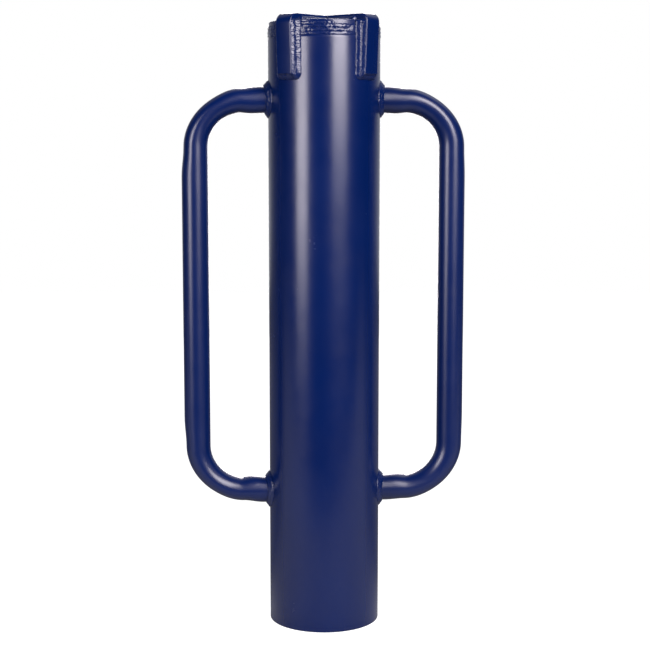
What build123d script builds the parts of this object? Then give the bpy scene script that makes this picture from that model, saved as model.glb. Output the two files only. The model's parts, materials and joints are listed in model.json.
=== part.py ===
"""Hand post driver: a capped steel tube with two side handles, lifted and dropped over a fence post.

Millimetres, +Z up. The origin is the centre of the open bottom rim, the handles lie along X, and the
front is -Y. It is one rigid weldment. A strike plate closes the tube, and three pieces of flat bar cross
the plate and run down the tube. Each weld is a node of its own, shaped as the space that its metal fills.
"""

from build123d import *

import os
from math import radians, tan

# Barrel: DN 100 steel tube, 24 in long, and the plate that closes its top
barrel_od = 114.3
barrel_wall = 4.5
barrel_length = 610
rim_round = 0.8
plate_diameter = 112.4
plate_thickness = 12
plate_edge_round = 1.2

# Ring weld in the groove between plate and tube
groove_depth = 3.6
ring_weld_upper_toe = 7.4
ring_weld_lower_toe = 3.9
ring_weld_crown = 0.8
ring_weld_crown_rise = 0.6

# Straps: flat bar that lies across the plate and runs down the tube
strap_width = 19
strap_thickness = 6
long_strap_bend_radius = 4.5
short_strap_bend_radius = 2
strap_leg_bottom = 569.5
strap_foot_gap = 0.15
strap_lean = 2.6
long_strap_angle = 47
front_strap_angle = -46.5
rear_strap_angle = 129.5

# Fillet welds of the straps: down each leg, and along the straps on the plate
leg_weld_rise = 6
leg_weld_slope = 40
cap_weld_leg = 4

# Handles: DN 20 steel tube bent to a U, and the fillet weld round each end
handle_od = 26.9
handle_wall = 2.6
handle_reach = 132.5
handle_bend_radius = 48
upper_arm_z = 544.5
lower_arm_z = 139
handle_weld_on_barrel = 6.6
handle_weld_on_arm = 4.6

barrel_radius = barrel_od / 2
bore_radius = barrel_radius - barrel_wall
plate_radius = plate_diameter / 2
plate_top = barrel_length + plate_thickness
groove_root = barrel_radius - groove_depth
plate_bevel = plate_radius - groove_root
handle_radius = handle_od / 2

# Direction of each leg from the tube's axis, in degrees from +X towards +Y
leg_angles = {
    "front_left": long_strap_angle - 180,
    "rear_right": long_strap_angle,
    "front_right": front_strap_angle,
    "rear_left": rear_strap_angle,
}
leg_straps = {
    "front_left": "cap_strap_long",
    "rear_right": "cap_strap_long",
    "front_right": "cap_strap_front",
    "rear_left": "cap_strap_rear",
}
handle_sides = {"left": -1, "right": 1}
arm_heights = {"upper": upper_arm_z, "lower": lower_arm_z}

# Underside of a strap, as distance from the tube's axis and height: the foot of a leg, and the corner
# above it
foot = (barrel_radius + strap_foot_gap, strap_leg_bottom)
corner = (foot[0] + (plate_top - strap_leg_bottom) * tan(radians(strap_lean)), plate_top)

pieces = {}


def keep(part, name):
    """Labels a finished piece and puts it with those that are written at the end."""
    part.label = name
    pieces[name] = part


def outwards(angle):
    """The level direction at this angle from +X."""
    return Vector(1, 0, 0).rotate(Axis.Z, angle)


def mirrored(point):
    return (-point[0], point[1])


def upright_plane(angle):
    """The plane through the tube's axis whose X points outwards at this angle and whose Y points up."""
    return Plane(origin=(0, 0, 0), x_dir=outwards(angle), z_dir=outwards(angle - 90))


# ---- Barrel tube: open at the bottom, bevelled at the top for the ring weld
with BuildPart() as barrel_tube:
    with BuildSketch():
        Circle(barrel_radius)
        Circle(bore_radius, mode=Mode.SUBTRACT)
    extrude(amount=barrel_length)
    outer_top = barrel_tube.edges().group_by(Axis.Z)[-1].sort_by(SortBy.RADIUS)[-1]
    chamfer(outer_top, length=groove_depth)
    fillet(barrel_tube.edges().group_by(Axis.Z)[0], radius=rim_round)
keep(barrel_tube.part, "barrel_tube")

# ---- Strike plate: the disc on the end of the tube that takes the blow, bevelled below for the ring weld
with BuildPart() as strike_plate:
    with BuildSketch(Plane.XY.offset(barrel_length)):
        Circle(plate_radius)
    extrude(amount=plate_thickness)
    chamfer(strike_plate.edges().group_by(Axis.Z)[0], length=plate_bevel)
    fillet(strike_plate.edges().group_by(Axis.Z)[-1], radius=plate_edge_round)
keep(strike_plate.part, "strike_plate")

# ---- Ring weld: fills the groove between tube and plate and stands a little proud of both
with BuildPart() as cap_ring_weld:
    with BuildSketch(Plane.XZ):
        with BuildLine():
            crown = (barrel_radius + ring_weld_crown, barrel_length + ring_weld_crown_rise)
            lower_side = Polyline(
                (groove_root, barrel_length),
                (barrel_radius, barrel_length - groove_depth),
                (barrel_radius, barrel_length - ring_weld_lower_toe),
            )
            upper_side = Polyline(
                (groove_root, barrel_length),
                (plate_radius, barrel_length + plate_bevel),
                (plate_radius, barrel_length + ring_weld_upper_toe),
            )
            ThreePointArc(lower_side @ 1, crown, upper_side @ 1)
        make_face()
    revolve(axis=Axis.Z)
keep(cap_ring_weld.part, "cap_ring_weld")


# ---- Straps: one runs right across, and two halves butt against its sides
# Each has the direction it lies in, the points along its underside, and the side of the long strap that
# it butts
long_underside = [foot, corner, mirrored(corner), mirrored(foot)]
short_underside = [foot, corner, (0, plate_top)]
straps = {
    "cap_strap_long": (long_strap_angle, long_underside, None),
    "cap_strap_front": (front_strap_angle, short_underside, long_strap_angle - 90),
    "cap_strap_rear": (rear_strap_angle, short_underside, long_strap_angle + 90),
}
for name, (angle, underside, butted_side) in straps.items():
    bend_radius = long_strap_bend_radius if butted_side is None else short_strap_bend_radius
    with BuildPart() as strap:
        with BuildSketch(upright_plane(angle)):
            with BuildLine():
                FilletPolyline(*underside, radius=bend_radius)
                offset(amount=strap_thickness, side=Side.RIGHT)
            make_face()
        extrude(amount=strap_width / 2, both=True)
        if butted_side is not None:
            away = outwards(butted_side)
            split(bisect_by=Plane(origin=away * (strap_width / 2), z_dir=away))
    keep(strap.part, name)

# ---- Leg welds: a fillet down both sides of each leg and across its foot, wider on the tube than on the bar
for name, angle in leg_angles.items():
    leg_face = Plane(
        origin=outwards(angle) * (barrel_radius + leg_weld_rise) + Vector(0, 0, strap_leg_bottom),
        x_dir=outwards(angle - 90),
        z_dir=outwards(angle) * -1,
    )
    with BuildPart() as leg_weld:
        with BuildSketch(leg_face):
            Rectangle(strap_width, plate_top - strap_leg_bottom, align=(Align.CENTER, Align.MIN))
        extrude(amount=leg_weld_rise + groove_depth, taper=-leg_weld_slope)
        split(bisect_by=Plane.XY.offset(plate_top), keep=Keep.BOTTOM)
        for neighbour in ("barrel_tube", "strike_plate", "cap_ring_weld", leg_straps[name]):
            add(pieces[neighbour], mode=Mode.SUBTRACT)
    keep(leg_weld.part, f"{name}_leg_weld")

# ---- Top welds: a fillet along the straps in each of the four corners between them
with BuildPart() as cap_fillets:
    for angle in leg_angles.values():
        fillet_top = (0, 0, plate_top + cap_weld_leg)
        top_of_fillet = Plane(origin=fillet_top, x_dir=outwards(angle), z_dir=(0, 0, -1))
        with BuildSketch(top_of_fillet):
            Rectangle(barrel_radius, strap_width, align=(Align.MIN, Align.CENTER))
        extrude(amount=cap_weld_leg, taper=-45)
    with BuildSketch(Plane.XY.offset(plate_top)):
        Circle(plate_radius - plate_edge_round)
    extrude(amount=cap_weld_leg, mode=Mode.INTERSECT)
    for neighbour in straps:
        add(pieces[neighbour], mode=Mode.SUBTRACT)
across = cap_fillets.solids().sort_by(Axis.X)
along = cap_fillets.solids().sort_by(Axis.Y)
corner_fillets = {"left": across[0], "right": across[-1], "front": along[0], "rear": along[-1]}
for name, corner_fillet in corner_fillets.items():
    with BuildPart() as top_weld:
        add(corner_fillet)
    keep(top_weld.part, f"{name}_top_weld")

# ---- Handles: tube bent to a U, its ends coped to sit on the barrel
for side, sign in handle_sides.items():
    with BuildPart() as handle:
        with BuildLine(Plane.XZ) as path:
            FilletPolyline(
                (sign * bore_radius, upper_arm_z),
                (sign * handle_reach, upper_arm_z),
                (sign * handle_reach, lower_arm_z),
                (sign * bore_radius, lower_arm_z),
                radius=handle_bend_radius,
            )
        with BuildSketch(Plane(origin=path.line @ 0, z_dir=path.line % 0)):
            Circle(handle_radius)
            Circle(handle_radius - handle_wall, mode=Mode.SUBTRACT)
        sweep()
        with BuildSketch():
            Circle(barrel_radius)
        extrude(amount=barrel_length, mode=Mode.SUBTRACT)
    keep(handle.part, f"{side}_handle")

# ---- Handle welds: a fillet round each end of each handle
for side, sign in handle_sides.items():
    for level, arm_z in arm_heights.items():
        with BuildPart() as handle_weld:
            with BuildSketch(Plane.XZ):
                Polygon(
                    (sign * bore_radius, arm_z + handle_radius),
                    (sign * bore_radius, arm_z + handle_radius + handle_weld_on_barrel),
                    (sign * barrel_radius, arm_z + handle_radius + handle_weld_on_barrel),
                    (sign * (barrel_radius + handle_weld_on_arm), arm_z + handle_radius),
                    align=None,
                )
            revolve(axis=Axis((0, 0, arm_z), (1, 0, 0)))
            add(pieces["barrel_tube"], mode=Mode.SUBTRACT)
        keep(handle_weld.part, f"{side}_{level}_handle_weld")

os.makedirs("parts", exist_ok=True)
for name, piece in pieces.items():
    export_step(piece, f"parts/{name}.step")
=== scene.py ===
"""Looks of the hand post driver: satin navy powder coat over tube, plate, flat bar and rippled weld beads.

Metres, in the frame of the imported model: +Z up, the handles along X, the front towards -Y. Lengths that
the frame doesn't give are named below in millimetres, and MM turns them into metres.
"""

import json
import math

import bmesh
import bpy
import numpy as np
from mathutils import Matrix, Vector


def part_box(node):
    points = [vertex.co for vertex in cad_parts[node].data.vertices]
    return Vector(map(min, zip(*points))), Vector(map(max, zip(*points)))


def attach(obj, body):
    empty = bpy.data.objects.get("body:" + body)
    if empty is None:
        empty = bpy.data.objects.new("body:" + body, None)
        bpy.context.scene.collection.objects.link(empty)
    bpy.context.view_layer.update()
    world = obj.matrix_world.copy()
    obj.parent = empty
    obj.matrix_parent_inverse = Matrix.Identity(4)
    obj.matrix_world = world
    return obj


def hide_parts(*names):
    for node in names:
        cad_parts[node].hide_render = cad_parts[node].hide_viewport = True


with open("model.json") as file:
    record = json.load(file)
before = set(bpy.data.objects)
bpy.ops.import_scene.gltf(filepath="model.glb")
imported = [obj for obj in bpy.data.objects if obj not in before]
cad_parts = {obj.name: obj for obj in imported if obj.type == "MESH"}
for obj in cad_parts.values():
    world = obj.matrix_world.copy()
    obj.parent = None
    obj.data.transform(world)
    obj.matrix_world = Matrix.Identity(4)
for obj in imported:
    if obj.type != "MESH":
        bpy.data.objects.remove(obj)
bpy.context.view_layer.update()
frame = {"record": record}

MM = 0.001
SHARP_ANGLE = math.radians(50)
TURNED_STEPS = 192
UP = np.array([0, 0, 1.0])

# ------------------------------------------------------------------------------------ sizes from the frame
mounts = {mount["name"]: mount for mount in frame["record"]["mounts"]}
barrel_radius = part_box("barrel_tube")[1].x
barrel_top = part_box("barrel_tube")[1].z
bore_radius = mounts["post_bore"]["dims"]["r_mm"] * MM
plate_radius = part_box("strike_plate")[1].x
plate_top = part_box("strike_plate")[1].z
strap_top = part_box("cap_strap_long")[1].z

# Corners of barrel and plate, and the bevels between them that the ring weld fills
RIM_ROUND = 1.0 * MM
PLATE_EDGE_ROUND = 1.2 * MM
GROOVE = 3.6 * MM

# The straps' directions, in degrees from +X towards +Y, and their bar, as in the CAD model
LONG_STRAP_ANGLE = 47
FRONT_STRAP_ANGLE = -46.5
REAR_STRAP_ANGLE = 129.5
STRAP_WIDTH = 19 * MM
STRAP_THICKNESS = strap_top - plate_top
STRAP_FOOT_Z = 569.5 * MM
STRAP_FOOT_GAP = 0.15 * MM
STRAP_LEAN = math.radians(2.6)
LONG_STRAP_BEND = 4.5 * MM
SHORT_STRAP_BEND = 2 * MM
STRAP_EDGE_ROUND = 1.1 * MM

# The legs of the straps, and the corners between them, each from one leg anticlockwise to the next
leg_angles = {
    "front_left": LONG_STRAP_ANGLE - 180,
    "rear_right": LONG_STRAP_ANGLE,
    "front_right": FRONT_STRAP_ANGLE,
    "rear_left": REAR_STRAP_ANGLE,
}
top_corners = {
    "front": (LONG_STRAP_ANGLE - 180, FRONT_STRAP_ANGLE),
    "right": (FRONT_STRAP_ANGLE, LONG_STRAP_ANGLE),
    "rear": (LONG_STRAP_ANGLE, REAR_STRAP_ANGLE),
    "left": (REAR_STRAP_ANGLE, LONG_STRAP_ANGLE + 180),
}
LEG_WELD_SPLITS = {"front_left": 0.40, "rear_right": 0.45, "front_right": 0.50, "rear_left": 0.42}

HANDLE_RADIUS = 13.45 * MM
HANDLE_BEND_RADIUS = 48 * MM
handle_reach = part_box("right_handle")[1].x - HANDLE_RADIUS
arm_heights = {
    "upper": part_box("right_handle")[1].z - HANDLE_RADIUS,
    "lower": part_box("right_handle")[0].z + HANDLE_RADIUS,
}


# ------------------------------------------------------------------------------------------- mesh building
def swept_mesh(name, rings, closed=False):
    """A solid skinned over rings of points, an array of (ring, point, 3). Closed joins last to first."""
    count, around = rings.shape[:2]
    ring = np.arange(count if closed else count - 1)[:, None]
    point = np.arange(around)[None, :]
    following = (ring + 1) % count
    beside = (point + 1) % around
    corners = [(ring, point), (following, point), (following, beside), (ring, beside)]
    quads = np.stack([r * around + p for r, p in corners], axis=-1).reshape(-1, 4)
    faces = quads.tolist()
    if not closed:
        faces.append(list(range(around)))
        faces.append(list(range(count * around - 1, (count - 1) * around - 1, -1)))
    mesh = bpy.data.meshes.new(name)
    mesh.from_pydata(rings.reshape(-1, 3).tolist(), [], faces)
    mesh.update()
    turn_outwards(mesh)
    mesh.shade_smooth()
    mesh.set_sharp_from_angle(angle=SHARP_ANGLE)
    return mesh


def turn_outwards(mesh):
    """Flips the faces of a closed mesh if they look inwards, which its signed volume tells."""
    mesh.calc_loop_triangles()
    corners = np.empty(len(mesh.vertices) * 3)
    mesh.vertices.foreach_get("co", corners)
    triangles = np.empty(len(mesh.loop_triangles) * 3, dtype=int)
    mesh.loop_triangles.foreach_get("vertices", triangles)
    a, b, c = np.moveaxis(corners.reshape(-1, 3)[triangles.reshape(-1, 3)], 1, 0)
    if np.sum(a * np.cross(b, c)) < 0:
        mesh.flip_normals()


def arc(centre, radius, start, stop, steps):
    """Points on an arc in a plane, from one angle to another in degrees, both ends included."""
    angles = np.radians(np.linspace(start, stop, steps))
    return np.stack([centre[0] + radius * np.cos(angles), centre[1] + radius * np.sin(angles)], axis=-1)


def turned(profile):
    """Rings of a profile of (distance from the axis, height) turned about Z."""
    angles = np.linspace(0, 2 * math.pi, TURNED_STEPS, endpoint=False)
    x = np.outer(np.cos(angles), profile[:, 0])
    y = np.outer(np.sin(angles), profile[:, 0])
    z = np.broadcast_to(profile[:, 1], x.shape)
    return np.stack([x, y, z], axis=-1)


def unit(vectors):
    return vectors / np.linalg.norm(vectors, axis=-1, keepdims=True)


def level(angle):
    """The level direction at this angle from +X, in degrees."""
    return np.array([math.cos(math.radians(angle)), math.sin(math.radians(angle)), 0.0])


def piece(name, mesh, node, slot):
    """Puts a mesh in the scene as the piece that stands for a CAD node, or for none."""
    made = bpy.data.objects.new(name, mesh)
    bpy.context.scene.collection.objects.link(made)
    mesh.materials.append(coats[slot])
    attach(made, "root")
    if node:
        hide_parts(node)


# ----------------------------------------------------------------------------------------------- materials
NAVY = (0.0, 0.0063, 0.053, 1.0)
NAVY_THIN = (0.0, 0.0074, 0.060, 1.0)
COAT_IOR = 1.48
ROUGHNESS_DRIFT = 0.025


def powder_coat(name, roughness, peel=5e-6, grain_scale=620.0):
    """Satin powder coat. Peel is the depth of its orange-peel waves, in metres."""
    material = bpy.data.materials.new(name)
    material.use_nodes = True
    nodes, links = material.node_tree.nodes, material.node_tree.links
    shader = nodes["Principled BSDF"]
    shader.inputs["IOR"].default_value = COAT_IOR
    place = nodes.new("ShaderNodeTexCoord")

    def noise(scale, detail, rough=0.5):
        texture = nodes.new("ShaderNodeTexNoise")
        texture.inputs["Scale"].default_value = scale
        texture.inputs["Detail"].default_value = detail
        texture.inputs["Roughness"].default_value = rough
        links.new(place.outputs["Object"], texture.inputs["Vector"])
        return texture.outputs["Fac"]

    def spread(value, low, high):
        """The middle of a noise's values, mapped to low and high."""
        mapped = nodes.new("ShaderNodeMapRange")
        mapped.inputs["From Min"].default_value = 0.3
        mapped.inputs["From Max"].default_value = 0.7
        mapped.inputs["To Min"].default_value = low
        mapped.inputs["To Max"].default_value = high
        links.new(value, mapped.inputs["Value"])
        return mapped.outputs["Result"]

    # Coat thickness drifts slowly over the part, and where it is thin the colour is a touch lighter
    colour = nodes.new("ShaderNodeMix")
    colour.data_type = "RGBA"
    colour.inputs["A"].default_value = NAVY
    colour.inputs["B"].default_value = NAVY_THIN
    thinness = spread(noise(scale=14.0, detail=4.0), 0.0, 1.0)
    links.new(thinness, colour.inputs["Factor"])
    links.new(colour.outputs["Result"], shader.inputs["Base Color"])

    dullness = noise(scale=38.0, detail=6.0, rough=0.65)
    uneven_roughness = spread(dullness, roughness - ROUGHNESS_DRIFT, roughness + ROUGHNESS_DRIFT)
    links.new(uneven_roughness, shader.inputs["Roughness"])

    waves = nodes.new("ShaderNodeBump")
    waves.inputs["Strength"].default_value = 1.0
    waves.inputs["Distance"].default_value = peel
    links.new(noise(grain_scale, detail=2.0, rough=0.4), waves.inputs["Height"])
    links.new(waves.outputs["Normal"], shader.inputs["Normal"])
    return material


# The coat of each slot
coats = {
    "barrel_coat": powder_coat("barrel_powder_coat", roughness=0.25),
    "cap_coat": powder_coat("cap_powder_coat", roughness=0.26, peel=7e-6),
    "handle_coat": powder_coat("handle_powder_coat", roughness=0.30),
    "weld_coat": powder_coat("weld_powder_coat", roughness=0.27, grain_scale=900.0),
}


# ---------------------------------------------------------------------------------------- barrel and plate
# Stations along straight walls, and along rounded corners
WALL_STEPS = 24
CORNER_STEPS = 7
WALL_START = 20 * MM
# The plate's outline stops this short of the axis, under the straps
PLATE_MIDDLE = 0.2 * MM


def barrel():
    """The tube's wall, from its outer rim up, across its bevelled top and down the bore."""
    outside = np.linspace(WALL_START, barrel_top - 6 * MM, WALL_STEPS)
    inside = np.linspace(barrel_top - 2 * MM, WALL_START, WALL_STEPS)
    wall = np.concatenate([
        arc((barrel_radius - RIM_ROUND, RIM_ROUND), RIM_ROUND, -90, 0, CORNER_STEPS),
        [[barrel_radius, z] for z in outside],
        [[barrel_radius, barrel_top - GROOVE], [barrel_radius - GROOVE, barrel_top]],
        [[bore_radius, barrel_top]],
        [[bore_radius, z] for z in inside],
        arc((bore_radius + RIM_ROUND, RIM_ROUND), RIM_ROUND, 180, 270, CORNER_STEPS),
    ])
    piece("barrel", swept_mesh("barrel", turned(wall), closed=True), "barrel_tube", "barrel_coat")


def plate():
    """The disc, from the middle of its underside out, up its edge and back over its top."""
    edge = PLATE_EDGE_ROUND
    bevel = plate_radius - (barrel_radius - GROOVE)
    middle = PLATE_MIDDLE
    outline = np.concatenate([
        [[r, barrel_top] for r in np.linspace(middle, plate_radius - bevel, 12)],
        [[plate_radius, z] for z in (barrel_top + bevel, barrel_top + 5 * MM, plate_top - edge - MM)],
        arc((plate_radius - edge, plate_top - edge), edge, 0, 90, 9),
        [[r, plate_top] for r in np.linspace(plate_radius - edge - MM, middle, 12)],
    ])
    piece("plate", swept_mesh("plate", turned(outline), closed=True), "strike_plate", "cap_coat")


# -------------------------------------------------------------------------------------------------- straps
def rounded_line(points, radius):
    """The line through these points with its corners rounded."""
    line = [np.array(points[0])]
    for before, here, after in zip(points, points[1:], points[2:]):
        before, here, after = (np.array(p) for p in (before, here, after))
        into, out = unit(before - here), unit(after - here)
        half = math.acos(np.clip(np.dot(into, out), -1, 1)) / 2
        centre = here + unit(into + out) * radius / math.sin(half)
        first = here + into * radius / math.tan(half) - centre
        last = here + out * radius / math.tan(half) - centre
        start = math.atan2(first[1], first[0])
        sweep = (math.atan2(last[1], last[0]) - start + math.pi) % (2 * math.pi) - math.pi
        angles = start + sweep * np.linspace(0, 1, 9)
        line += [centre + radius * np.array([math.cos(a), math.sin(a)]) for a in angles]
    line.append(np.array(points[-1]))
    return np.array(line)


def bar_section(width, thickness, rounding):
    """A rounded rectangle as points (across, out of the underside)."""
    w, t, r = width / 2, thickness, rounding
    corners = [
        arc((w - r, r), r, -90, 0, 5),
        arc((w - r, t - r), r, 0, 90, 5),
        arc((-w + r, t - r), r, 90, 180, 5),
        arc((-w + r, r), r, 180, 270, 5),
    ]
    return np.concatenate(corners)


def subdivided(line, step):
    """The same polyline with points added so that none of its runs is much longer than a step."""
    points = [line[0]]
    for a, b in zip(line, line[1:]):
        n = max(1, int(math.ceil(np.linalg.norm(b - a) / step)))
        points += [a + (b - a) * k / n for k in range(1, n + 1)]
    return np.array(points)


def strap(name, node, angle, corners, bend):
    """Flat bar bent along corners, (outwards, height) in the upright plane at this angle."""
    line = subdivided(rounded_line(corners, bend), STRAP_STEP)
    direction = unit(np.gradient(line, axis=0))
    normal = np.stack([direction[:, 1], -direction[:, 0]], axis=-1)
    section = bar_section(STRAP_WIDTH, STRAP_THICKNESS, STRAP_EDGE_ROUND)
    out, across = level(angle), level(angle + 90)
    flat = line[:, None, :] + normal[:, None, :] * section[None, :, 1:2]
    rings = flat[..., 0:1] * out + flat[..., 1:2] * UP + section[None, :, 0:1] * across
    piece(name, swept_mesh(name, rings), node, "cap_coat")


STRAP_STEP = 3 * MM
SHORT_STRAP_OVERLAP = 0.5 * MM
strap_foot = (barrel_radius + STRAP_FOOT_GAP, STRAP_FOOT_Z)
strap_corner = (strap_foot[0] + (plate_top - STRAP_FOOT_Z) * math.tan(STRAP_LEAN), plate_top)


def straps():
    """One strap right across the plate, and two halves that run a little way into its sides."""
    far_leg = [(-x, z) for x, z in (strap_corner, strap_foot)]
    inner_end = (STRAP_WIDTH / 2 - SHORT_STRAP_OVERLAP, plate_top)
    long = [strap_foot, strap_corner, *far_leg]
    short = [strap_foot, strap_corner, inner_end]
    strap("strap_long", "cap_strap_long", LONG_STRAP_ANGLE, long, LONG_STRAP_BEND)
    strap("strap_front", "cap_strap_front", FRONT_STRAP_ANGLE, short, SHORT_STRAP_BEND)
    strap("strap_rear", "cap_strap_rear", REAR_STRAP_ANGLE, short, SHORT_STRAP_BEND)


# ------------------------------------------------------------------------------------------------- handles
# Each hand-bent corner: how far the tube's outer wall sinks at the start of the bend, early in it and at
# its end, and the height of the bump that the former pushed up on the inner wall, in millimetres
BENDS = {
    ("left", "upper"): dict(sink=(2.0, 4.3, 2.2), bump=0.5),
    ("left", "lower"): dict(sink=(2.3, 3.6, 1.7), bump=1.2),
    ("right", "upper"): dict(sink=(1.9, 3.3, 0.9), bump=0.5),
    ("right", "lower"): dict(sink=(1.2, 2.4, 0.6), bump=0.8),
}
BEND_LEAD_IN = 20 * MM
BEND_RUN_OUT = 30 * MM
DEEPEST_SHARE = 0.36
BEND_WIDENING = 0.1
# The bump stands before the bend, and the former's own pinch just past its start
BUMP_BEFORE_BEND = 11 * MM
BUMP_SPREAD = 8 * MM
FORMER_PINCH = 0.45 * MM
PINCH_PAST_START = 2 * MM
PINCH_SPREAD = 6 * MM
# The ends run this far into the barrel, whose wall hides them
HANDLE_EMBED = 3 * MM
HANDLE_SIDES = 72
ARM_STEP = 1.5 * MM
GRIP_STEP = 6 * MM
BEND_STEPS = 40


def handle_line():
    """Centre line of the right handle in the XZ plane, from the upper arm's end to the lower arm's."""
    bend = HANDLE_BEND_RADIUS
    top, bottom = arm_heights["upper"], arm_heights["lower"]
    arm = np.arange(barrel_radius - HANDLE_EMBED, handle_reach - bend, ARM_STEP)
    grip = np.arange(top - bend, bottom + bend, -GRIP_STEP)[1:]
    return np.concatenate([
        [[x, top] for x in arm],
        arc((handle_reach - bend, top - bend), bend, 90, 0, BEND_STEPS),
        [[handle_reach, z] for z in grip],
        arc((handle_reach - bend, bottom + bend), bend, 0, -90, BEND_STEPS),
        [[x, bottom] for x in arm[::-1]],
    ])


def smooth_steps(places, values, at):
    """Values at places, joined by smooth S-shaped steps."""
    result = np.full_like(at, values[0])
    for p, q, v, w in zip(places, places[1:], values, values[1:]):
        t = np.clip((at - p) / (q - p), 0, 1)
        result += (w - v) * t * t * (3 - 2 * t)
    return result


def hump(at, centre, spread):
    """A smooth hump of unit height round the centre."""
    return np.exp(-(((at - centre) / spread) ** 2))


def handle(side):
    """Tube bent to a U, its walls flattened and bulged at the bends."""
    sign = -1 if side == "left" else 1
    line = handle_line()
    steps = np.linalg.norm(np.diff(line, axis=0), axis=1)
    along = np.concatenate([[0], np.cumsum(steps)])
    arm = handle_reach - HANDLE_BEND_RADIUS - barrel_radius + HANDLE_EMBED
    bend = HANDLE_BEND_RADIUS * math.pi / 2
    places = arm + np.array([-BEND_LEAD_IN, 0, DEEPEST_SHARE * bend, bend, bend + BEND_RUN_OUT])
    sink = np.zeros(len(along))
    bump = np.zeros(len(along))
    for height_name, from_end in (("upper", along), ("lower", along[-1] - along)):
        shape = BENDS[side, height_name]
        sink += smooth_steps(places, np.array([0, *shape["sink"], 0]) * MM, from_end)
        bump += shape["bump"] * MM * hump(from_end, arm - BUMP_BEFORE_BEND, BUMP_SPREAD)
        bump -= FORMER_PINCH * hump(from_end, arm + PINCH_PAST_START, PINCH_SPREAD)
    half_width = HANDLE_RADIUS + BEND_WIDENING * sink

    tangent = unit(np.gradient(line, axis=0))
    outer = np.stack([-tangent[:, 1], tangent[:, 0]], axis=-1)
    turns = np.linspace(0, 2 * math.pi, HANDLE_SIDES, endpoint=False)
    outer_half = np.clip(np.cos(turns), 0, None)[None, :]
    inner_half = np.clip(-np.cos(turns), 0, None)[None, :]
    reach = (HANDLE_RADIUS - sink[:, None]) * outer_half - (HANDLE_RADIUS + bump[:, None]) * inner_half
    rings = np.stack([
        sign * (line[:, None, 0] + reach * outer[:, None, 0]),
        half_width[:, None] * np.sin(turns)[None, :],
        line[:, None, 1] + reach * outer[:, None, 1],
    ], axis=-1)
    piece(f"handle_{side}", swept_mesh(f"handle_{side}", rings), f"{side}_handle", "handle_coat")


# --------------------------------------------------------------------------------------------------- welds
# Grid of a weld's skin: along the bead and across it
ALONG_STEP = 0.36 * MM
ACROSS_STEP = 0.2 * MM
# Where no bead reaches, the skin dives this far under the line between the weld's edges
WELD_DIVE = 0.9 * MM
WELD_END_ROUND = 3 * MM
# A weld's toe on a round or flat face starts this far under it
TOE_SINK = 0.05 * MM
# A bead's unevenness comes in lumps of these lengths: its width, its beat of ripples and its middle line
WIDTH_LUMP = 14 * MM
BEAT_LUMP = 7 * MM
MIDDLE_LUMP = 9 * MM
# How far each of them strays, as a share of the width, the crown and a beat, and in length
WIDTH_DRIFT = 0.05
CROWN_DRIFT = 0.15
BEAT_DRIFT = 0.30
MIDDLE_DRIFT = 0.20 * MM
# The share of a beat after which a ripple scale drops off
SCALE_EDGE = 0.76
# Small lumps over the whole skin, as (height, size)
SKIN_LUMPS = [(0.035 * MM, 4.5 * MM), (0.006 * MM, 1.8 * MM)]


def smoothstep(low, high, value):
    t = np.clip((value - low) / (high - low), 0, 1)
    return t * t * (3 - 2 * t)


def unevenness(along, across, length, size, random, waves=14):
    """Smooth random lumps of about this size and unit height, which meet up again after a length."""
    total = 0
    for direction in random.uniform(0, 2 * math.pi, waves):
        turns = round(length / size * math.cos(direction) * random.uniform(0.6, 1.4))
        rise = 2 * math.pi / size * math.sin(direction)
        start = random.uniform(0, 2 * math.pi)
        total = total + np.sin(2 * math.pi * turns * along / length + rise * across + start)
    return total / math.sqrt(waves / 2)


def scales(beat):
    """Overlapping scales, one for each beat: each rises slowly and drops off at its edge."""
    share = beat % 1
    return share - smoothstep(SCALE_EDGE, 1, share)


def bead_height(along, across, width, length, row, random):
    """Height of one bead over the face that it lies on: a flat crown with curved ripple scales along it.

    A row gives the bead's centre and half width as shares of the weld's width, the height of its crown and
    its ripples, their pitch and bow, how much its edges scallop, how flat the crown is, and where it starts
    and ends if it doesn't run the weld's whole length.
    """
    drift = unevenness(along, 0, length, WIDTH_LUMP, random)
    count = max(1, round(length / row["pitch"]))
    beat = along / length * count + BEAT_DRIFT * unevenness(along, across, length, BEAT_LUMP, random)
    scallops = row["scallop"] * (np.abs(np.sin(math.pi * beat)) - 0.6)
    half = row["half"] * width * (1 + WIDTH_DRIFT * drift + scallops)
    straying = MIDDLE_DRIFT * unevenness(along, 0, length, MIDDLE_LUMP, random)
    off = (across - (row["centre"] * width + straying)) / half
    ripple = scales(beat + row["bow"] * off**2)
    height = row["crown"] * (1 + CROWN_DRIFT * drift) * (1 - np.abs(off) ** row["flatness"])
    height = height + row["ripple"] * (ripple - 0.4) * np.clip(1.4 - off**2, 0, 1)
    if "stretch" in row:
        first, last = row["stretch"]
        from_end = np.minimum(along - first, last - along) / half
        height = np.where(from_end > 0, height - (1 - np.clip(from_end, 0, 1)) ** 2 * MM, -MM)
    return height


CRATER_DOME = 0.80 * MM
CRATER_DIMPLE = 0.45 * MM
CRATER_ARCS = 0.20 * MM


def crater_height(along, across, crater):
    """Height of the pool that a bead ends in: a low dome with nested arcs and a dimple behind them."""
    place, centre, reach, points = crater
    aside = points * (along - place) / reach
    off = (across - centre) / reach
    away = np.hypot(aside * np.where(aside > 0, 0.8, 1.0), off * (1 + 0.35 * np.clip(aside, 0, 1)))
    from_dimple = np.hypot(aside + 0.45, off)
    arcs = scales(-3.1 * from_dimple) * smoothstep(-0.6, 0.1, aside)
    dimple = np.exp(-((from_dimple / 0.34) ** 2))
    height = CRATER_DOME * (1 - away**4) - CRATER_DIMPLE * dimple + CRATER_ARCS * (arcs - 0.4)
    return np.where(away < 1.3, height, -1)


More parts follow.
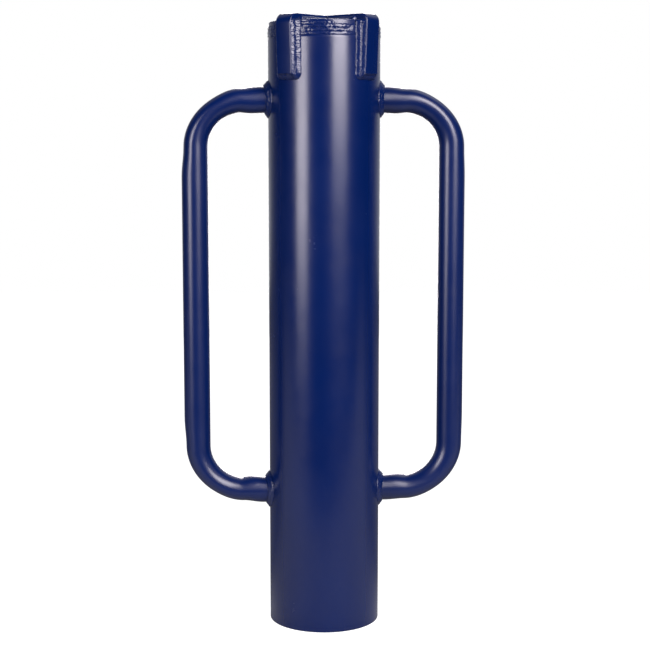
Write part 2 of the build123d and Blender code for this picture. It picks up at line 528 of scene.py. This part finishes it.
def weld(name, node, inner, outer, root, rows, seed, craters=(), closed=False):
    """A weld whose face spans two edges, inner on one part and outer on the other, over its root.

    All three are arrays of points at the same stations. Rows are the beads that the face is laid up from. A
    crater is (place along the weld, place across it, reach, 1 or -1 for the way that its arcs point).
    """
    random = np.random.default_rng(seed)
    count = len(inner)
    middle = (inner + outer) / 2
    onward = np.roll(middle, -1, axis=0)
    runs = np.linalg.norm(onward - middle, axis=1)
    length = runs.sum() if closed else runs[:-1].sum()
    along = np.concatenate([[0], np.cumsum(runs)])[:count, None]
    width = np.linalg.norm(outer - inner, axis=1).mean()
    share = np.linspace(0, 1, int(round(width / ACROSS_STEP)) + 1)
    across = share[None, :] * width
    face = inner[:, None, :] + (outer - inner)[:, None, :] * share[None, :, None]

    if closed:
        lengthwise = np.roll(face, -1, axis=0) - np.roll(face, 1, axis=0)
    else:
        lengthwise = np.gradient(face, axis=0)
    normal = unit(np.cross(lengthwise, (outer - inner)[:, None, :]))
    normal *= np.sign(np.sum(normal * (face - root[:, None, :]), axis=-1).mean())

    height = np.full(face.shape[:2], -WELD_DIVE)
    for row in rows:
        height = np.maximum(height, bead_height(along, across, width, length, row, random))
    for crater in craters:
        height = np.maximum(height, crater_height(along, across, crater))
    lumps = sum(rise * unevenness(along, across, length, size, random) for rise, size in SKIN_LUMPS)
    height = height + lumps * smoothstep(-WELD_DIVE, 0, height)

    skin = face + normal * height[..., None]
    if not closed:
        from_end = np.minimum(along, length - along) / WELD_END_ROUND
        swell = np.sqrt(1 - (1 - np.clip(from_end, 0.03, 1)) ** 2)[..., None]
        skin = root[:, None, :] + (skin - root[:, None, :]) * swell
    rings = np.concatenate([skin, root[:, None, :]], axis=1)
    piece(name, swept_mesh(name, rings, closed), node, "weld_coat")


def evenly(lines, step):
    """The lines, arrays of points at the same stations, with stations evenly spaced along the first."""
    steps = np.linalg.norm(np.diff(lines[0], axis=0), axis=1)
    along = np.concatenate([[0], np.cumsum(steps)])
    places = np.linspace(0, along[-1], int(round(along[-1] / step)) + 1)

    def moved(line):
        return np.stack([np.interp(places, along, values) for values in line.T], axis=-1)

    return [moved(line) for line in lines]


# ---- ring weld, between plate and barrel
RING_TOP = 10.2 * MM
RING_BOTTOM = 3.6 * MM
# Each bead of the ring, in millimetres: its middle is measured down from the weld's top edge
RING_ROWS = [
    dict(middle=5.0, half=2.1, crown=0.75, ripple=0.08, pitch=4.7, bow=0.5, scallop=0.45, flatness=2.2),
    dict(middle=8.75, half=1.95, crown=0.65, ripple=0.15, pitch=2.9, bow=0.5, scallop=0.08, flatness=2.4),
    dict(middle=12.1, half=1.6, crown=0.45, ripple=0.04, pitch=7.0, bow=0.4, scallop=0.06, flatness=2.4),
]
# One more bead covers the plate's edge from the front left leg to a small crater right of the front
TOP_BEAD = dict(
    middle=1.9, half=1.9, crown=0.65, ripple=0.16, pitch=3.4, bow=0.6, scallop=0.15, flatness=2.2
)
TOP_BEAD_SPAN = (-125.0, -87.5)
# Where beads end: the angle around, the distance down from the weld's top edge, the reach, and which way
# the arcs point
RING_CRATERS = [
    (-115.0, 7.2, 5.2, -1),
    (-86.5, 2.3, 2.4, 1),
    (-63.5, 7.8, 5.4, -1),
    (25.0, 7.0, 5.0, 1),
    (152.0, 7.6, 5.0, -1),
]


def ring_weld():
    """Three beads right round, one more over part of the plate's edge, and the craters where beads end."""
    radius = (plate_radius + barrel_radius) / 2
    count = int(2 * math.pi * barrel_radius / ALONG_STEP)
    turns = np.linspace(0, 2 * math.pi, count, endpoint=False)
    around = np.stack([np.cos(turns), np.sin(turns), np.zeros(count)], axis=-1)
    width = math.hypot(RING_TOP + RING_BOTTOM, barrel_radius - plate_radius)

    def ring(radius, height):
        return around * radius + UP * height

    def place(angle):
        return math.radians(angle % 360) * radius

    def in_metres(row):
        lengths = {key: row[key] * MM for key in ("crown", "ripple", "pitch")}
        return {**row, **lengths, "centre": row["middle"] * MM / width, "half": row["half"] * MM / width}

    rows = [in_metres(row) for row in RING_ROWS]
    rows.append({**in_metres(TOP_BEAD), "stretch": tuple(place(angle) for angle in TOP_BEAD_SPAN)})
    craters = [(place(angle), down * MM, reach * MM, points) for angle, down, reach, points in RING_CRATERS]
    on_plate = ring(plate_radius - TOE_SINK, barrel_top + RING_TOP)
    on_barrel = ring(barrel_radius - TOE_SINK, barrel_top - RING_BOTTOM)
    root = ring(barrel_radius - GROOVE, barrel_top)
    weld("ring_weld", "cap_ring_weld", on_plate, on_barrel, root, rows, 11, craters, closed=True)


# ---- leg welds: down one side of each leg, round its foot and up the other side
LEG_TOE = 5.6 * MM
LEG_FOOT_TOE = 6.4 * MM
LEG_WELD_TOP = plate_top + 0.8 * MM
LEG_WELD_LAP = 1.0 * MM
LEG_ROOT_INSET = 2 * MM
LEG_EDGE_SINK = 0.35 * MM
LEG_SEAM_SHIFT = 0.01
# The welds' roots lie this deep in the faces that they join
ROOT_DEPTH = 1.2 * MM
# Craters stand a little past the foot, one for each bead: the share of the way to the toe, and the reach
CRATER_PAST_FOOT = 2.5 * MM
LEG_CRATERS = [(0.60, 4.2 * MM), (0.55, 3.6 * MM)]
# Stations down a side of the outline, round a corner of it and across its foot
LEG_SIDE_STEPS = 60
LEG_CORNER_STEPS = 24
LEG_FOOT_STEPS = 30
INNER_LEG_BEAD = dict(crown=0.55 * MM, ripple=0.20 * MM, pitch=3.0 * MM, bow=0.9, scallop=0.14, flatness=4)
OUTER_LEG_BEAD = dict(crown=0.65 * MM, ripple=0.22 * MM, pitch=2.7 * MM, bow=-0.8, scallop=0.16, flatness=4)


def around_leg(side_gap, foot_gap):
    """Outline of a leg, this far outside it, from its top round its foot to its top: (across, height)."""
    half = STRAP_WIDTH / 2
    corner = np.radians(np.linspace(0, -90, LEG_CORNER_STEPS))
    side = [[half + side_gap, z] for z in np.linspace(LEG_WELD_TOP, STRAP_FOOT_Z, LEG_SIDE_STEPS)]
    turn = [[half + side_gap * math.cos(a), STRAP_FOOT_Z + foot_gap * math.sin(a)] for a in corner[1:]]
    foot = [[x, STRAP_FOOT_Z - foot_gap] for x in np.linspace(half, -half, LEG_FOOT_STEPS)[1:-1]]
    right = np.array(side + turn)
    return np.concatenate([right, np.array(foot), right[::-1] * np.array([-1, 1])])


def leg_weld(place, angle, seed, split):
    """Split is where the seam between the two beads runs, as a share of the way from the bar to the toe."""
    out, across = level(angle), level(angle + 90)
    outlines = [
        around_leg(LEG_TOE, LEG_FOOT_TOE),
        around_leg(-LEG_WELD_LAP, -LEG_WELD_LAP),
        around_leg(-LEG_ROOT_INSET, -LEG_ROOT_INSET),
    ]
    toe, edge, root = evenly(outlines, ALONG_STEP)

    def placed(flat, distance):
        return out * distance[:, None] + across * flat[:, :1] + UP * flat[:, 1:]

    def on_barrel(flat, depth):
        return placed(flat, np.sqrt(barrel_radius**2 - flat[:, 0] ** 2) - depth)

    above_foot = np.clip(edge[:, 1] - STRAP_FOOT_Z, 0, None)
    bar_face = strap_foot[0] + STRAP_THICKNESS + above_foot * math.tan(STRAP_LEAN)
    on_bar = placed(edge, bar_face - LEG_EDGE_SINK)
    on_tube = on_barrel(toe, TOE_SINK)
    in_tube = on_barrel(root, ROOT_DEPTH)
    rows = [
        dict(centre=split / 2, half=split / 2, **INNER_LEG_BEAD),
        dict(centre=(1 + split) / 2 - LEG_SEAM_SHIFT, half=(1 - split) / 2, **OUTER_LEG_BEAD),
    ]
    length = np.linalg.norm(np.diff((on_bar + on_tube) / 2, axis=0), axis=1).sum()
    width = np.linalg.norm(on_tube - on_bar, axis=1).mean()
    down = (LEG_WELD_TOP - STRAP_FOOT_Z) + CRATER_PAST_FOOT
    (first, first_reach), (last, last_reach) = LEG_CRATERS
    craters = [(down, first * width, first_reach, 1), (length - down, last * width, last_reach, -1)]
    weld(f"weld_{place}_leg", f"{place}_leg_weld", on_bar, on_tube, in_tube, rows, seed, craters)


# ---- top welds: along the straps' sides on the plate, in each of the four corners between them
TOP_WELD_LEG = 3.9 * MM
TOP_WELD_REACH = 53.2 * MM
TOP_EDGE_SINK = 0.15 * MM
TOP_ROOT_DEPTH = 1.0 * MM
TOP_WELD_STEPS = 90
# The inner corner is eased over this many stations
TOP_WELD_EASING = 9
FILLET_BEAD = dict(
    centre=0.5, half=0.46, crown=0.85 * MM, ripple=0.34 * MM, pitch=3.1 * MM,
    bow=1.1, scallop=0.12, flatness=3,
)


def top_weld(place, first, second, seed):
    """The weld in the corner between the straps at two angles, the second anticlockwise of the first."""
    sides = [level(first + 90)[:2], level(second - 90)[:2]]

    def eased(values):
        window = np.ones(TOP_WELD_EASING) / TOP_WELD_EASING
        return np.convolve(np.pad(values, TOP_WELD_EASING // 2, "edge"), window, "valid")

    def bent(offset, height):
        """Along both straps' sides, this far from the straps' middle lines."""
        reach = math.sqrt(TOP_WELD_REACH**2 - offset**2)
        ends = [level(a)[:2] * reach + side * offset for a, side in zip((first, second), sides)]
        corner = np.linalg.solve(np.array(sides), [offset, offset])
        shares = np.linspace(0, 1, TOP_WELD_STEPS)
        runs = [ends[0] + (corner - ends[0]) * t for t in shares]
        runs += [corner + (ends[1] - corner) * t for t in shares[1:]]
        x, y = np.array(runs).T
        return np.column_stack([eased(x), eased(y), np.full(len(runs), height)])

    half = STRAP_WIDTH / 2
    outlines = [
        bent(half + TOP_WELD_LEG, plate_top - TOE_SINK),
        bent(half - TOP_EDGE_SINK, plate_top + TOP_WELD_LEG),
        bent(half - ROOT_DEPTH, plate_top - TOP_ROOT_DEPTH),
    ]
    on_plate, on_bar, root = evenly(outlines, ALONG_STEP)
    weld(f"weld_{place}_top", f"{place}_top_weld", on_bar, on_plate, root, [FILLET_BEAD], seed)


# ---- handle welds: round each end of each handle, reaching further on top than at the bottom
ARM_EDGE_SINK = 0.1 * MM
HANDLE_WELD_ON_ARM = (5.0 * MM, 3.8 * MM)
HANDLE_WELD_ON_BARREL = (6.2 * MM, 5.2 * MM)
HANDLE_BEADS = [
    dict(centre=0.30, half=0.30, crown=0.70 * MM, pitch=2.7 * MM, bow=0.8, scallop=0.16),
    dict(centre=0.73, half=0.26, crown=0.60 * MM, pitch=2.9 * MM, bow=-0.7, scallop=0.20),
]


def handle_weld(side, height_name, seed):
    """Two beads round the end of a handle's arm."""
    sign = -1 if side == "left" else 1
    arm_z = arm_heights[height_name]
    count = int(2 * math.pi * (HANDLE_RADIUS + HANDLE_WELD_ON_BARREL[0] / 2) / ALONG_STEP)
    turns = np.linspace(0, 2 * math.pi, count, endpoint=False)
    up = (1 + np.cos(turns)) / 2

    def ring(radius, lift):
        y = radius * np.sin(turns)
        x = np.sqrt(barrel_radius**2 - y**2) + lift
        return np.stack([sign * x, y, arm_z + radius * np.cos(turns)], axis=-1)

    def between(top, bottom):
        return bottom + (top - bottom) * up

    on_arm = ring(HANDLE_RADIUS - ARM_EDGE_SINK, between(*HANDLE_WELD_ON_ARM))
    on_barrel = ring(HANDLE_RADIUS + between(*HANDLE_WELD_ON_BARREL), -TOE_SINK)
    root = ring(HANDLE_RADIUS - ROOT_DEPTH, -ROOT_DEPTH)
    rows = [dict(ripple=0.26 * MM, flatness=5, **bead) for bead in HANDLE_BEADS]
    name = f"weld_{side}_{height_name}_handle"
    weld(name, f"{side}_{height_name}_handle_weld", on_arm, on_barrel, root, rows, seed, closed=True)


# ---- spatter: small drops of metal that flew off and stuck
DROPS_PER_LEG = 4
DROP_FLATNESS = 0.6
# Between which angles from a leg's middle, heights in millimetres and radii in millimetres the drops lie
DROP_ANGLES = (16.5, 19)
DROP_HEIGHTS = (560, 600)
DROP_RADII = (0.25, 0.5)
# The drops on the bend, in millimetres: out from the axis, sideways, down from the strap's top, and radius
BEND_DROPS = [(60.5, 3.2, 0.65, 0.6), (61.5, 7.3, 1.07, 0.7)]


def spatter(seed=61):
    """Flattened drops on the barrel beside the leg welds, and two on the front right bend."""
    random = np.random.default_rng(seed)
    drops = []
    for angle in leg_angles.values():
        for _ in range(DROPS_PER_LEG):
            out = level(angle + random.choice([-1, 1]) * random.uniform(*DROP_ANGLES))
            place = out * barrel_radius + UP * random.uniform(*DROP_HEIGHTS) * MM
            drops.append((place, out, random.uniform(*DROP_RADII)))
    on_bend = level(FRONT_STRAP_ANGLE)
    beside = level(FRONT_STRAP_ANGLE + 90)
    top = UP * strap_top
    for out, aside, down, size in BEND_DROPS:
        drops.append((on_bend * out * MM + beside * aside * MM + top - down * MM * UP, UP, size))

    build = bmesh.new()
    squash = Matrix.Diagonal((1, 1, DROP_FLATNESS, 1))
    for place, out, size in drops:
        facing = Vector(out).to_track_quat("Z", "Y").to_matrix().to_4x4()
        seat = Matrix.Translation(Vector(place)) @ facing @ squash
        bmesh.ops.create_icosphere(build, subdivisions=2, radius=size * MM, matrix=seat)
    mesh = bpy.data.meshes.new("weld_spatter")
    build.to_mesh(mesh)
    build.free()
    mesh.shade_smooth()
    piece("weld_spatter", mesh, None, "weld_coat")


# --------------------------------------------------------------------------------- camera and surroundings
# The part stands turned by this much to the photo's camera
VIEW_TURN = math.radians(-4.5)
CAMERA_DISTANCE = 1554 * MM
CAMERA_HEIGHT = 514 * MM
CAMERA_SIDE = 0.9 * MM
CAMERA_PITCH = math.radians(7.39)
LENS_MM = 83.35
SENSOR_MM = 36


def from_camera_side(x, y, z):
    """A point given in axes that have the camera straight in front, turned into the frame."""
    c, s = math.cos(VIEW_TURN), math.sin(VIEW_TURN)
    return (x * c - y * s, x * s + y * c, z)


def camera():
    data = bpy.data.cameras.new("camera")
    data.lens = LENS_MM
    data.sensor_width = SENSOR_MM
    data.clip_end = 50
    made = bpy.data.objects.new("camera", data)
    made.location = from_camera_side(CAMERA_SIDE, -CAMERA_DISTANCE, CAMERA_HEIGHT)
    made.rotation_euler = (math.pi / 2 - CAMERA_PITCH, 0, VIEW_TURN)
    bpy.context.scene.collection.objects.link(made)
    bpy.context.scene.camera = made


class StageNodes:
    """Short ways to add the nodes that the floor's and the world's shaders share."""

    def __init__(self, tree):
        self.nodes = tree.nodes
        self.link = tree.links.new

    def mapped(self, value, from_low, from_high, to_low, to_high):
        node = self.nodes.new("ShaderNodeMapRange")
        node.inputs["From Min"].default_value = from_low
        node.inputs["From Max"].default_value = from_high
        node.inputs["To Min"].default_value = to_low
        node.inputs["To Max"].default_value = to_high
        self.link(value, node.inputs["Value"])
        return node.outputs["Result"]

    def calculated(self, operation, first, second):
        node = self.nodes.new("ShaderNodeMath")
        node.operation = operation
        self.link(first, node.inputs[0])
        if isinstance(second, float):
            node.inputs[1].default_value = second
        else:
            self.link(second, node.inputs[1])
        return node.outputs["Value"]

    def share_along(self, vector, direction):
        """How far a vector goes in a direction, which is given in the camera's axes."""
        node = self.nodes.new("ShaderNodeVectorMath")
        node.operation = "DOT_PRODUCT"
        node.inputs[1].default_value = from_camera_side(*direction)
        self.link(vector, node.inputs[0])
        return node.outputs["Value"]

    def mixed(self, share, first, second):
        node = self.nodes.new("ShaderNodeMixShader")
        self.link(share, node.inputs["Fac"])
        self.link(first, node.inputs[1])
        self.link(second, node.inputs[2])
        return node.outputs["Shader"]


AWAY = (0, 1, 0)
TO_RIGHT = (1, 0, 0)

# The pale floor ends this far in front of the part, and runs on behind it and to its sides
FLOOR_FRONT = 530 * MM
FLOOR_REACH = 3200 * MM
FLOOR_DROP = 0.2 * MM


def floor():
    mesh = bpy.data.meshes.new("floor")
    corners = [
        (-FLOOR_REACH, -FLOOR_FRONT),
        (FLOOR_REACH, -FLOOR_FRONT),
        (FLOOR_REACH, FLOOR_REACH),
        (-FLOOR_REACH, FLOOR_REACH),
    ]
    mesh.from_pydata([from_camera_side(x, y, -FLOOR_DROP) for x, y in corners], [], [(0, 1, 2, 3)])
    made = bpy.data.objects.new("floor", mesh)
    bpy.context.scene.collection.objects.link(made)
    material = bpy.data.materials.new("floor")
    material.use_nodes = True
    nodes = material.node_tree.nodes
    make = StageNodes(material.node_tree)
    shader = nodes["Principled BSDF"]
    shader.inputs["Roughness"].default_value = 0.9
    shader.inputs["Specular IOR Level"].default_value = 0.0
    shader.inputs["Emission Color"].default_value = (1, 1, 1, 1)
    # Paler in front of the part than behind it, or the edges of the barrel's foot would be too light
    place = nodes.new("ShaderNodeTexCoord")
    away = make.share_along(place.outputs["Object"], AWAY)
    make.link(make.mapped(away, -0.05, 0.15, 0.36, 0.08), shader.inputs["Base Color"])
    # Lifted to white where the camera looks straight at it, as the backdrop is
    path = nodes.new("ShaderNodeLightPath")
    lift = make.mapped(path.outputs["Is Camera Ray"], 0.0, 1.0, 0.04, 1.0)
    make.link(lift, shader.inputs["Emission Strength"])
    # Clear from below, so that the open end can be looked into
    side = nodes.new("ShaderNodeNewGeometry")
    clear = nodes.new("ShaderNodeBsdfTransparent")
    surface = make.mixed(side.outputs["Backfacing"], shader.outputs["BSDF"], clear.outputs["BSDF"])
    make.link(surface, nodes["Material Output"].inputs["Surface"])
    mesh.materials.append(material)


def surroundings():
    """The studio: plain white to look at.

    What the coat reflects and is lit by is dim on the camera's side, white low down behind the part, and has
    a ceiling behind it.
    """
    world = bpy.data.worlds.new("studio")
    bpy.context.scene.world = world
    world.use_nodes = True
    nodes = world.node_tree.nodes
    make = StageNodes(world.node_tree)
    seen = nodes["Background"]
    seen.inputs["Color"].default_value = (1, 1, 1, 1)
    seen.inputs["Strength"].default_value = 1.0
    lit = nodes.new("ShaderNodeBackground")
    direction = nodes.new("ShaderNodeTexCoord").outputs["Generated"]
    away = make.share_along(direction, AWAY)
    to_right = make.share_along(direction, TO_RIGHT)
    split = nodes.new("ShaderNodeSeparateXYZ")
    make.link(direction, split.inputs["Vector"])
    upwards = split.outputs["Z"]

    white_behind = make.calculated("POWER", make.mapped(away, 0.3, 0.9, 0.0, 1.0), 1.5)
    fading_up = make.mapped(upwards, 0.05, 0.45, 1.0, 0.15)
    backdrop = make.calculated("MULTIPLY", white_behind, fading_up)
    # The ceiling is brighter to the camera's right, and straight overhead
    overhead = make.mapped(upwards, 0.3, 0.7, 0.0, 1.0)
    behind = make.mapped(away, 0.15, 0.5, 0.0, 1.0)
    brighter_right = make.mapped(to_right, 0.0, 0.4, 0.35, 1.3)
    brighter_top = make.mapped(upwards, 0.65, 0.9, 1.0, 2.0)
    ceiling = make.calculated("MULTIPLY", overhead, behind)
    ceiling = make.calculated("MULTIPLY", ceiling, brighter_right)
    ceiling = make.calculated("MULTIPLY", ceiling, brighter_top)
    strength = make.calculated("ADD", make.mapped(backdrop, 0.0, 1.0, 0.004, 0.8), ceiling)
    make.link(strength, lit.inputs["Strength"])

    path = nodes.new("ShaderNodeLightPath")
    to_camera = path.outputs["Is Camera Ray"]
    surface = make.mixed(to_camera, lit.outputs["Background"], seen.outputs["Background"])
    make.link(surface, nodes["World Output"].inputs["Surface"])


# Upright soft lights that face the part's axis, in metres. Azimuth is counted from the camera's side,
# positive to its right. The two fills aren't seen in the coat's reflections.
LIGHT_DISTANCE = 2.2
WARM_PINK = (1.0, 0.93, 0.96)
WHITE = (1.0, 1.0, 1.0)
SOFTBOXES = {
    "left_softbox": dict(azimuth=-45.5, low=0.22, high=1.3, width=0.86, radiance=10.6, colour=WARM_PINK),
    "right_softbox": dict(azimuth=32, low=0.585, high=2.8, width=1.12, radiance=14.2, colour=WARM_PINK),
    "rear_strip": dict(azimuth=180, low=0.05, high=2.1, width=0.6, radiance=10.0, colour=WARM_PINK),
    "rear_left_fill": dict(
        azimuth=-140, low=0.2, high=2.0, width=1.2, radiance=3.8, colour=WHITE, reflected=False
    ),
    "rear_right_fill": dict(
        azimuth=140, low=0.2, high=2.0, width=1.2, radiance=3.8, colour=WHITE, reflected=False
    ),
}


def softbox(name, azimuth, low, high, width, radiance, colour, reflected=True):
    data = bpy.data.lights.new(name, "AREA")
    data.shape = "RECTANGLE"
    data.size = width
    data.size_y = high - low
    data.energy = 4 * width * (high - low) * radiance
    data.color = colour
    made = bpy.data.objects.new(name, data)
    a = math.radians(azimuth)
    x, y = LIGHT_DISTANCE * math.sin(a), -LIGHT_DISTANCE * math.cos(a)
    made.location = from_camera_side(x, y, (low + high) / 2)
    made.rotation_euler = (math.pi / 2, 0, VIEW_TURN + a)
    made.visible_camera = False
    made.visible_glossy = reflected
    bpy.context.scene.collection.objects.link(made)


# ----------------------------------------------------------------------------------------- the whole scene
barrel()
plate()
straps()
for side in ("left", "right"):
    handle(side)
ring_weld()
for seed, (place, angle) in enumerate(leg_angles.items(), start=21):
    leg_weld(place, angle, seed, LEG_WELD_SPLITS[place])
arm_ends = [(side, height_name) for side in ("left", "right") for height_name in arm_heights]
for seed, (side, height_name) in enumerate(arm_ends, start=31):
    handle_weld(side, height_name, seed)
for seed, (place, (first, second)) in enumerate(top_corners.items(), start=41):
    top_weld(place, first, second, seed)
spatter()

camera()
floor()
surroundings()
for name, settings in SOFTBOXES.items():
    softbox(name, **settings)
bpy.context.scene.view_settings.view_transform = "Standard"
